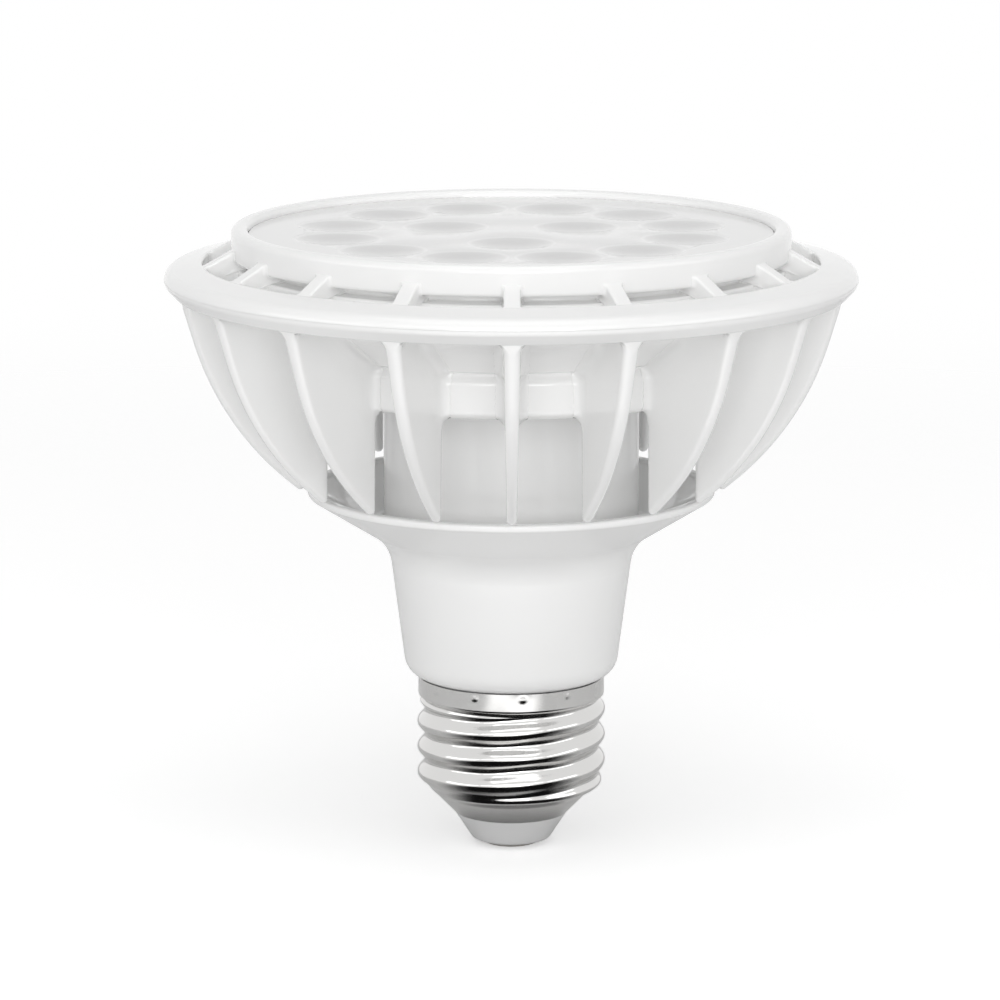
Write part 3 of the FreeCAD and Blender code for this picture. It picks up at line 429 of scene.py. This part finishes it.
def housingOutline(s):
    bore = s["tubeRadius"] - s["wall"]
    lip = flangeRadius - s["lipWall"]
    return roundedOutline([
        (s["spigotRadius"] - s["wall"], s["spigotFoot"]),
        (s["spigotRadius"], s["spigotFoot"]),
        (s["spigotRadius"], neckBase, s["spigotRound"]),
        (s["neckRadius"], neckBase, s["neckRound"]),
        (s["neckTopRadius"], s["neckTop"], s["flareRound"]),
        (flangeRadius, s["flangeEdge"], s["edgeRound"]),
        (flangeRadius, s["flangeTop"], s["edgeRound"]),
        (lip, s["flangeTop"], s["edgeRound"]),
        (lip, s["flangeTop"] - s["lipDepth"], s["edgeRound"] / 2),
        (s["tubeRadius"], s["neckTop"] + s["wall"], s["dishRound"]),
        (s["tubeRadius"], floorUnder),
        (bore, floorUnder),
        (bore, s["neckTop"] + s["wall"] / 2),
        (s["neckTopRadius"] - s["wall"], s["neckTop"] - s["wall"] / 2),
        (s["neckRadius"] - s["wall"] / 2, neckBase + s["neckRound"]),
        (s["spigotRadius"] - s["wall"], neckBase + s["neckRound"]),
    ], steps=9)


housing = revolved("housing", housingOutline(housingSizes))
settle(housing, "driver_housing", moulding)

# Screw shell: a thin barrel whose wall follows the thread, with stake marks round its collar
shellSizes = {
    "mouth": 7.9, "shoulderTop": 8.8, "root": 12.05, "shoulderRound": 2.2, "collar": 12.95,
    "collarBase": 20.7, "flareTop": 21.4, "wall": 0.3, "pitch": 3.629, "crest": 1.05, "crestLevel": 8.3,
    "stakes": 12, "stakeTurn": 7.0, "stakeLevel": 23.25, "pit": (0.42, -0.10), "dent": (1.5, 0.09),
    "fadeLevels": (7.2, 9.2, 20.0, 20.9), "rows": 165, "segments": 300, "innerStep": 4,
    "collarRound": 0.15, "flareRound": 0.25, "crestPower": 0.85,
    "wobble": ((2, 0.8, 0.0, 0.09), (5, 0.0, 0.9, 0.07), (9, 2.0, -1.7, 0.05)),  # waves, start, climb, size
}


# r(u, z) = base(z) + crest * fade(z) * wave(z / pitch - u / 2 pi + a slight wobble) - stake marks
def makeShell(s):
    base = roundedOutline([(s["mouth"], shellBase), (s["root"], s["shoulderTop"], s["shoulderRound"]),
                           (s["root"], s["collarBase"], s["collarRound"]),
                           (s["collar"], s["flareTop"], s["flareRound"]),
                           (s["collar"], neckBase)], closed=False)
    level = np.linspace(shellBase, neckBase, s["rows"])
    plain = np.interp(level, base[:, 1], base[:, 0])[:, None]
    turn = np.linspace(0, 2 * np.pi, s["segments"], endpoint=False)
    phase = 2 * np.pi * (level[:, None] - s["crestLevel"]) / s["pitch"] - turn
    for waves, start, climb, size in s["wobble"]:
        phase = phase + size * np.sin(waves * turn + start + climb * level[:, None])
    wave = (0.5 + 0.5 * np.cos(phase)) ** s["crestPower"]
    fade = np.interp(level, s["fadeLevels"], [0, 1, 1, 0])[:, None]
    fade = fade * fade * (3 - 2 * fade)  # eased at both ends
    radius = plain + s["crest"] * fade * wave
    for k in range(s["stakes"]):
        spot = frontAzimuth + np.radians(s["stakeTurn"]) + k * 2 * np.pi / s["stakes"]
        aside = (np.mod(turn - spot + np.pi, 2 * np.pi) - np.pi) * s["collar"]
        away = np.hypot(aside, level[:, None] - s["stakeLevel"])
        for width, depth in (s["pit"], s["dent"]):
            radius = radius - depth * np.exp(-(away / width) ** 2)
    inner = np.repeat(plain[::-s["innerStep"]] - s["wall"], s["segments"], axis=1)
    heights = np.concatenate([level, level[::-s["innerStep"]]])[:, None]
    radius = np.vstack([radius, inner])
    grid = np.stack([radius * np.cos(turn), radius * np.sin(turn), heights + 0 * turn], axis=-1)
    faces = gridFaces(len(heights), s["segments"])
    return finishMesh("screwShell", grid.reshape(-1, 3), faces, sharpAngle=60)


settle(makeShell(shellSizes), "screw_shell", chrome)

# Cap insulator and centre contact
capSizes = {"stem": 1.5, "foot": 5.4, "footRound": 0.9, "mouth": 7.9, "lip": 7.6, "lipTop": 6.5,
            "lipTopRadius": 9.6, "contact": 4.0, "contactEdge": 0.35, "stemTop": 3.6,
            "mouthRound": 0.1}


def insulatorOutline(s):
    return roundedOutline([
        (s["stem"], insulatorBase),
        (s["foot"], insulatorBase, s["footRound"]),
        (s["mouth"], shellBase, s["mouthRound"]),
        (s["lip"], shellBase),
        (s["lipTopRadius"], s["lipTop"]),
        (s["stem"], s["lipTop"]),
    ])


def contactOutline(s):
    return roundedOutline([
        (0, 0),
        (s["contact"], 0, s["contactEdge"]),
        (s["contact"], insulatorBase),
        (s["stem"], insulatorBase),
        (s["stem"], s["stemTop"]),
        (0, s["stemTop"]),
    ], closed=False)


insulator = revolved("capInsulator", insulatorOutline(capSizes), segments=180)
settle(insulator, "cap_insulator", insulatorFinish)
contact = revolved("centreContact", contactOutline(capSizes), segments=120, closed=False)
settle(contact, "centre_contact", contactFinish)

# Lens plate: its CAD mesh, with the distance to the nearest lens's axis, in lens radii, at each vertex, which
# sets where its finish gets painted shade and painted highlight
lensSizes = {"radius": 6.15, "outerCircle": 24.3, "outerCount": 12, "outerTurn": 15, "innerCircle": 10.4,
             "innerCount": 3, "innerTurn": 30}


# d(x, y) = the least distance to a lens's axis, over the lens radius
def lensField(mesh, s):
    spots = np.zeros(len(mesh.vertices) * 3)
    mesh.vertices.foreach_get("co", spots)
    spots = spots.reshape(-1, 3)[:, :2] / mm
    centres = []
    for ringName in ("outer", "inner"):
        turn = np.linspace(0, 2 * np.pi, s[ringName + "Count"], endpoint=False)
        turn = turn + np.radians(s[ringName + "Turn"])
        centres.append(s[ringName + "Circle"] * np.column_stack([np.cos(turn), np.sin(turn)]))
    away = np.linalg.norm(spots[:, None] - np.vstack(centres), axis=-1).min(axis=1) / s["radius"]
    mesh.attributes.new("lensField", "FLOAT", "POINT").data.foreach_set("value", away)


lensPlate = smoothCopy("lensPlate", "lens_plate", sharpAngle=6.5)
lensField(lensPlate.data, lensSizes)
settle(lensPlate, "lens_plate", lensFinish)
print("cap and lens made")

# Pieces inside keep their CAD meshes: each one's colour, metallic value and range of roughness
insideLooks = {
    "lens_seal": ((0.80, 0.80, 0.79, 1), 0.0, (0.55, 0.65)),
    "thermal_pad": ((0.3, 0.32, 0.34, 1), 0.0, (0.6, 0.7)),
    "led_board": ((0.84, 0.84, 0.83, 1), 0.0, (0.35, 0.45)),
    "leds": ((0.85, 0.72, 0.22, 1), 0.0, (0.2, 0.3)),
    "board_screws": ((0.6, 0.6, 0.6, 1), 1.0, (0.25, 0.35)),
    "housing_screws": ((0.6, 0.6, 0.6, 1), 1.0, (0.25, 0.35)),
    "board_connector": ((0.8, 0.79, 0.76, 1), 0.0, (0.4, 0.5)),
    "driver_board": ((0.02, 0.12, 0.04, 1), 0.0, (0.35, 0.5)),
    "transformer_core": ((0.03, 0.03, 0.033, 1), 0.0, (0.5, 0.6)),
    "transformer_winding": ((0.65, 0.45, 0.03, 1), 0.0, (0.25, 0.35)),
    "input_capacitor": ((0.01, 0.015, 0.04, 1), 0.0, (0.25, 0.35)),
    "output_capacitor": ((0.01, 0.015, 0.04, 1), 0.0, (0.25, 0.35)),
    "film_capacitor": ((0.3, 0.02, 0.015, 1), 0.0, (0.3, 0.4)),
    "bridge_rectifier": ((0.012, 0.012, 0.012, 1), 0.0, (0.45, 0.55)),
    "control_chip": ((0.012, 0.012, 0.012, 1), 0.0, (0.45, 0.55)),
    "filter_choke": ((0.03, 0.03, 0.033, 1), 0.0, (0.5, 0.6)),
    "fuse_resistor": ((0.1, 0.25, 0.13, 1), 0.0, (0.45, 0.55)),
    "live_lead": ((0.08, 0.03, 0.01, 1), 0.0, (0.4, 0.5)),
    "neutral_lead": ((0.01, 0.04, 0.25, 1), 0.0, (0.4, 0.5)),
    "led_lead_plus": ((0.4, 0.01, 0.01, 1), 0.0, (0.4, 0.5)),
    "led_lead_minus": ((0.012, 0.012, 0.012, 1), 0.0, (0.4, 0.5)),
}
for node, (colour, metallic, roughness) in insideLooks.items():
    look = {"sockets": {"Base Color": colour, "Metallic": metallic}, "grain": 500, "roughness": roughness,
            "bump": 0.1, "depth": 0.05}
    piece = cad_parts[node]
    piece.data.materials.clear()
    piece.data.materials.append(finish(node + "Finish", look))

# Floor, cards that only mirrors see, world, lamps and camera
studio = {
    "floorSize": 1.2, "floorColour": (0.9, 0.9, 0.9, 1), "floorLift": 0.385, "mirrorLift": 0.0,
    "floorRough": 0.9, "fadeStart": 0.2, "fadeEnd": 0.5, "ambient": 0.44,
}
# A card runs from `inner` to `outer` metres from the axis and `spread` degrees to each side of the front; the
# dark card's disc round the axis is a painted contact shadow under the cap, seen only in mirrors
cards = {
    "darkCard": {"inner": 0.010, "outer": 0.085, "soft": 1.3, "spread": 66.0, "glow": 0.0, "height": 0.0003,
                 "paintedShadowRadius": 0.0108, "paintedShadowDepth": 0.62},
    "brightCard": {"inner": 0.088, "outer": 0.30, "soft": 1.15, "spread": 30.0, "glow": 1.6, "height": 0.0006,
                   "paintedShadowRadius": 0.0, "paintedShadowDepth": 0.0},
}
cardMargin, sideFade, paintedShadowFade = 1.05, (1.4, 0.6), 0.6
lamps = {
    "frontBox": {"place": (-0.02, -1.0, 0.50), "size": (1.6, 0.30), "power": 2.0},
    "lowBox": {"place": (0.02, -1.2, 0.22), "size": (0.9, 0.25), "power": 3.3},
    "leftBox": {"place": (-1.0, -0.45, 0.35), "size": (0.9, 0.30), "power": 1.2},
    "rightBox": {"place": (1.0, -0.45, 0.35), "size": (0.9, 0.30), "power": 1.2},
    "topBox": {"place": (0.0, -0.25, 1.05), "size": (0.9, 0.9), "power": 2.4},
}
view = {"distance": 0.650, "elevation": 11.35, "aimHeight": 0.0486, "aside": -0.00155, "focalLength": 169.2,
        "nearest": 0.01}


# A flat surface P(u, v) on the floor: a grid of points in metres
def makeSheet(name, across, along, height):
    u, v = np.meshgrid(across, along)
    points = np.stack([u, v, 0 * u + height], axis=-1).reshape(-1, 3)
    mesh = bpy.data.meshes.new(name)
    mesh.from_pydata(points.tolist(), [], gridFaces(len(along), len(across), False, False)[:, ::-1].tolist())
    sheet = bpy.data.objects.new(name, mesh)
    bpy.context.scene.collection.objects.link(sheet)
    return sheet


# Floor paper: a matt white that is lifted to plain white only where it is seen or mirrored
def makeFloor(s):
    half = s["floorSize"] / 2
    floor = makeSheet("floor", np.linspace(-half, half, 5), np.linspace(-half, half, 5), 0.0)
    material = bpy.data.materials.new("floorPaper")
    material.use_nodes = True
    nodes, links = material.node_tree.nodes, material.node_tree.links
    shader = nodes["Principled BSDF"]
    shader.inputs["Base Color"].default_value = s["floorColour"]
    shader.inputs["Roughness"].default_value = s["floorRough"]
    shader.inputs["Specular IOR Level"].default_value = 0.0
    shader.inputs["Emission Color"].default_value = (1, 1, 1, 1)
    path, mirrored, lift = (nodes.new("ShaderNodeLightPath"), nodes.new("ShaderNodeMath"),
                            nodes.new("ShaderNodeMath"))
    mirrored.operation, lift.operation = "MULTIPLY", "MULTIPLY_ADD"
    mirrored.inputs[1].default_value, lift.inputs[1].default_value = s["mirrorLift"], s["floorLift"]
    links.new(path.outputs["Is Glossy Ray"], mirrored.inputs[0])
    links.new(path.outputs["Is Camera Ray"], lift.inputs[0])
    links.new(mirrored.outputs["Value"], lift.inputs[2])
    links.new(lift.outputs["Value"], shader.inputs["Emission Strength"])
    place, length, fade = (nodes.new("ShaderNodeTexCoord"), nodes.new("ShaderNodeVectorMath"),
                           nodes.new("ShaderNodeMapRange"))
    length.operation, fade.interpolation_type = "LENGTH", "SMOOTHSTEP"
    fade.inputs["From Min"].default_value = s["fadeEnd"]
    fade.inputs["From Max"].default_value = s["fadeStart"]
    links.new(place.outputs["Object"], length.inputs[0])
    links.new(length.outputs["Value"], fade.inputs["Value"])
    links.new(fade.outputs["Result"], shader.inputs["Alpha"])
    floor.data.materials.append(material)


# A mask that is 1 where a value passes `high` and 0 where it is still short of `low`
def fadeMask(nodes, links, source, low, high, top=1.0):
    ramp = nodes.new("ShaderNodeMapRange")
    ramp.interpolation_type = "SMOOTHSTEP"
    ramp.inputs["From Min"].default_value, ramp.inputs["From Max"].default_value = low, high
    ramp.inputs["To Max"].default_value = top
    links.new(source, ramp.inputs["Value"])
    return ramp.outputs["Result"]


# One Math node on two values
def joined(nodes, links, operation, first, second):
    node = nodes.new("ShaderNodeMath")
    node.operation = operation
    links.new(first, node.inputs[0])
    links.new(second, node.inputs[1])
    return node.outputs["Value"]


# A card flat on the floor that only mirrors see: a ring between two radii, in front, fading on every side,
# with a dark disc round the axis as a painted contact shadow under the cap
def makeCard(name, s):
    reach = s["outer"] * cardMargin
    card = makeSheet(name, np.linspace(-reach, reach, 3), np.linspace(-reach, reach, 3), s["height"])
    material = bpy.data.materials.new(name)
    material.use_nodes = True
    nodes, links = material.node_tree.nodes, material.node_tree.links
    shader = nodes["Principled BSDF"]
    shader.inputs["Base Color"].default_value = (0.01, 0.01, 0.01, 1)
    shader.inputs["Specular IOR Level"].default_value = 0.0
    shader.inputs["Emission Color"].default_value = (1, 1, 1, 1)
    shader.inputs["Emission Strength"].default_value = s["glow"]
    place, split = nodes.new("ShaderNodeTexCoord"), nodes.new("ShaderNodeSeparateXYZ")
    length, ahead, swing = (nodes.new("ShaderNodeVectorMath"), nodes.new("ShaderNodeMath"),
                            nodes.new("ShaderNodeMath"))
    length.operation, ahead.operation, swing.operation = "LENGTH", "MULTIPLY", "ABSOLUTE"
    ahead.inputs[1].default_value = -1.0
    links.new(place.outputs["Object"], length.inputs[0])
    links.new(place.outputs["Object"], split.inputs["Vector"])
    links.new(split.outputs["Y"], ahead.inputs[0])
    links.new(joined(nodes, links, "ARCTAN2", split.outputs["X"], ahead.outputs["Value"]), swing.inputs[0])
    away, turned, spread = length.outputs["Value"], swing.outputs["Value"], np.radians(s["spread"])
    band = joined(nodes, links, "MULTIPLY", fadeMask(nodes, links, away, s["inner"], s["inner"] * s["soft"]),
                  fadeMask(nodes, links, away, s["outer"], s["outer"] / s["soft"]))
    front = fadeMask(nodes, links, turned, spread * sideFade[0], spread * sideFade[1])
    sector = joined(nodes, links, "MULTIPLY", band, front)
    # Painted contact shadow: a dark disc round the axis, darkest at its middle, which only mirrors see
    foot = fadeMask(nodes, links, away, s["paintedShadowRadius"], s["paintedShadowRadius"] * paintedShadowFade, s["paintedShadowDepth"])
    links.new(joined(nodes, links, "MAXIMUM", sector, foot), shader.inputs["Alpha"])
    card.data.materials.append(material)
    card.visible_camera = card.visible_diffuse = False
    card.visible_shadow = card.visible_transmission = False


# Plain world: soft and even on the object, white where it is seen or mirrored
def makeWorld(s):
    world = bpy.data.worlds.new("studio")
    bpy.context.scene.world = world
    world.use_nodes = True
    nodes, links = world.node_tree.nodes, world.node_tree.links
    background = nodes["Background"]
    background.inputs["Color"].default_value = (1, 1, 1, 1)
    path, seen, strength = (nodes.new("ShaderNodeLightPath"), nodes.new("ShaderNodeMath"),
                            nodes.new("ShaderNodeMapRange"))
    seen.operation = "MAXIMUM"
    strength.inputs["To Min"].default_value = s["ambient"]
    strength.inputs["To Max"].default_value = 1.0
    links.new(path.outputs["Is Camera Ray"], seen.inputs[0])
    links.new(path.outputs["Is Glossy Ray"], seen.inputs[1])
    links.new(seen.outputs["Value"], strength.inputs["Value"])
    links.new(strength.outputs["Result"], background.inputs["Strength"])


# A soft box turned to the middle of the lamp
def addLamp(name, s):
    lamp = bpy.data.lights.new(name, "AREA")
    lamp.shape = "RECTANGLE"
    lamp.size, lamp.size_y = s["size"]
    lamp.energy = s["power"]
    holder = bpy.data.objects.new(name, lamp)
    holder.location = s["place"]
    aim = Vector((0, 0, view["aimHeight"])) - Vector(s["place"])
    holder.rotation_euler = aim.to_track_quat("-Z", "Y").to_euler()
    bpy.context.scene.collection.objects.link(holder)


# The camera stands `distance` from its aim, `elevation` degrees above the level, in front
def makeCamera(v):
    camera = bpy.data.objects.new("camera", bpy.data.cameras.new("camera"))
    tilt = np.radians(v["elevation"])
    back = Vector((0, -np.cos(tilt), np.sin(tilt)))
    aim = Vector((v["aside"], 0, v["aimHeight"]))
    camera.location = aim + back * v["distance"]
    camera.rotation_euler = (-back).to_track_quat("-Z", "Y").to_euler()
    camera.data.lens = v["focalLength"]
    camera.data.clip_start = v["nearest"]
    bpy.context.scene.collection.objects.link(camera)
    bpy.context.scene.camera = camera


makeFloor(studio)
for cardName, cardSizes in cards.items():
    makeCard(cardName, cardSizes)
makeWorld(studio)
for lampName, lampSizes in lamps.items():
    addLamp(lampName, lampSizes)
makeCamera(view)
bpy.context.scene.view_settings.view_transform = "Standard"
print("studio and camera set")
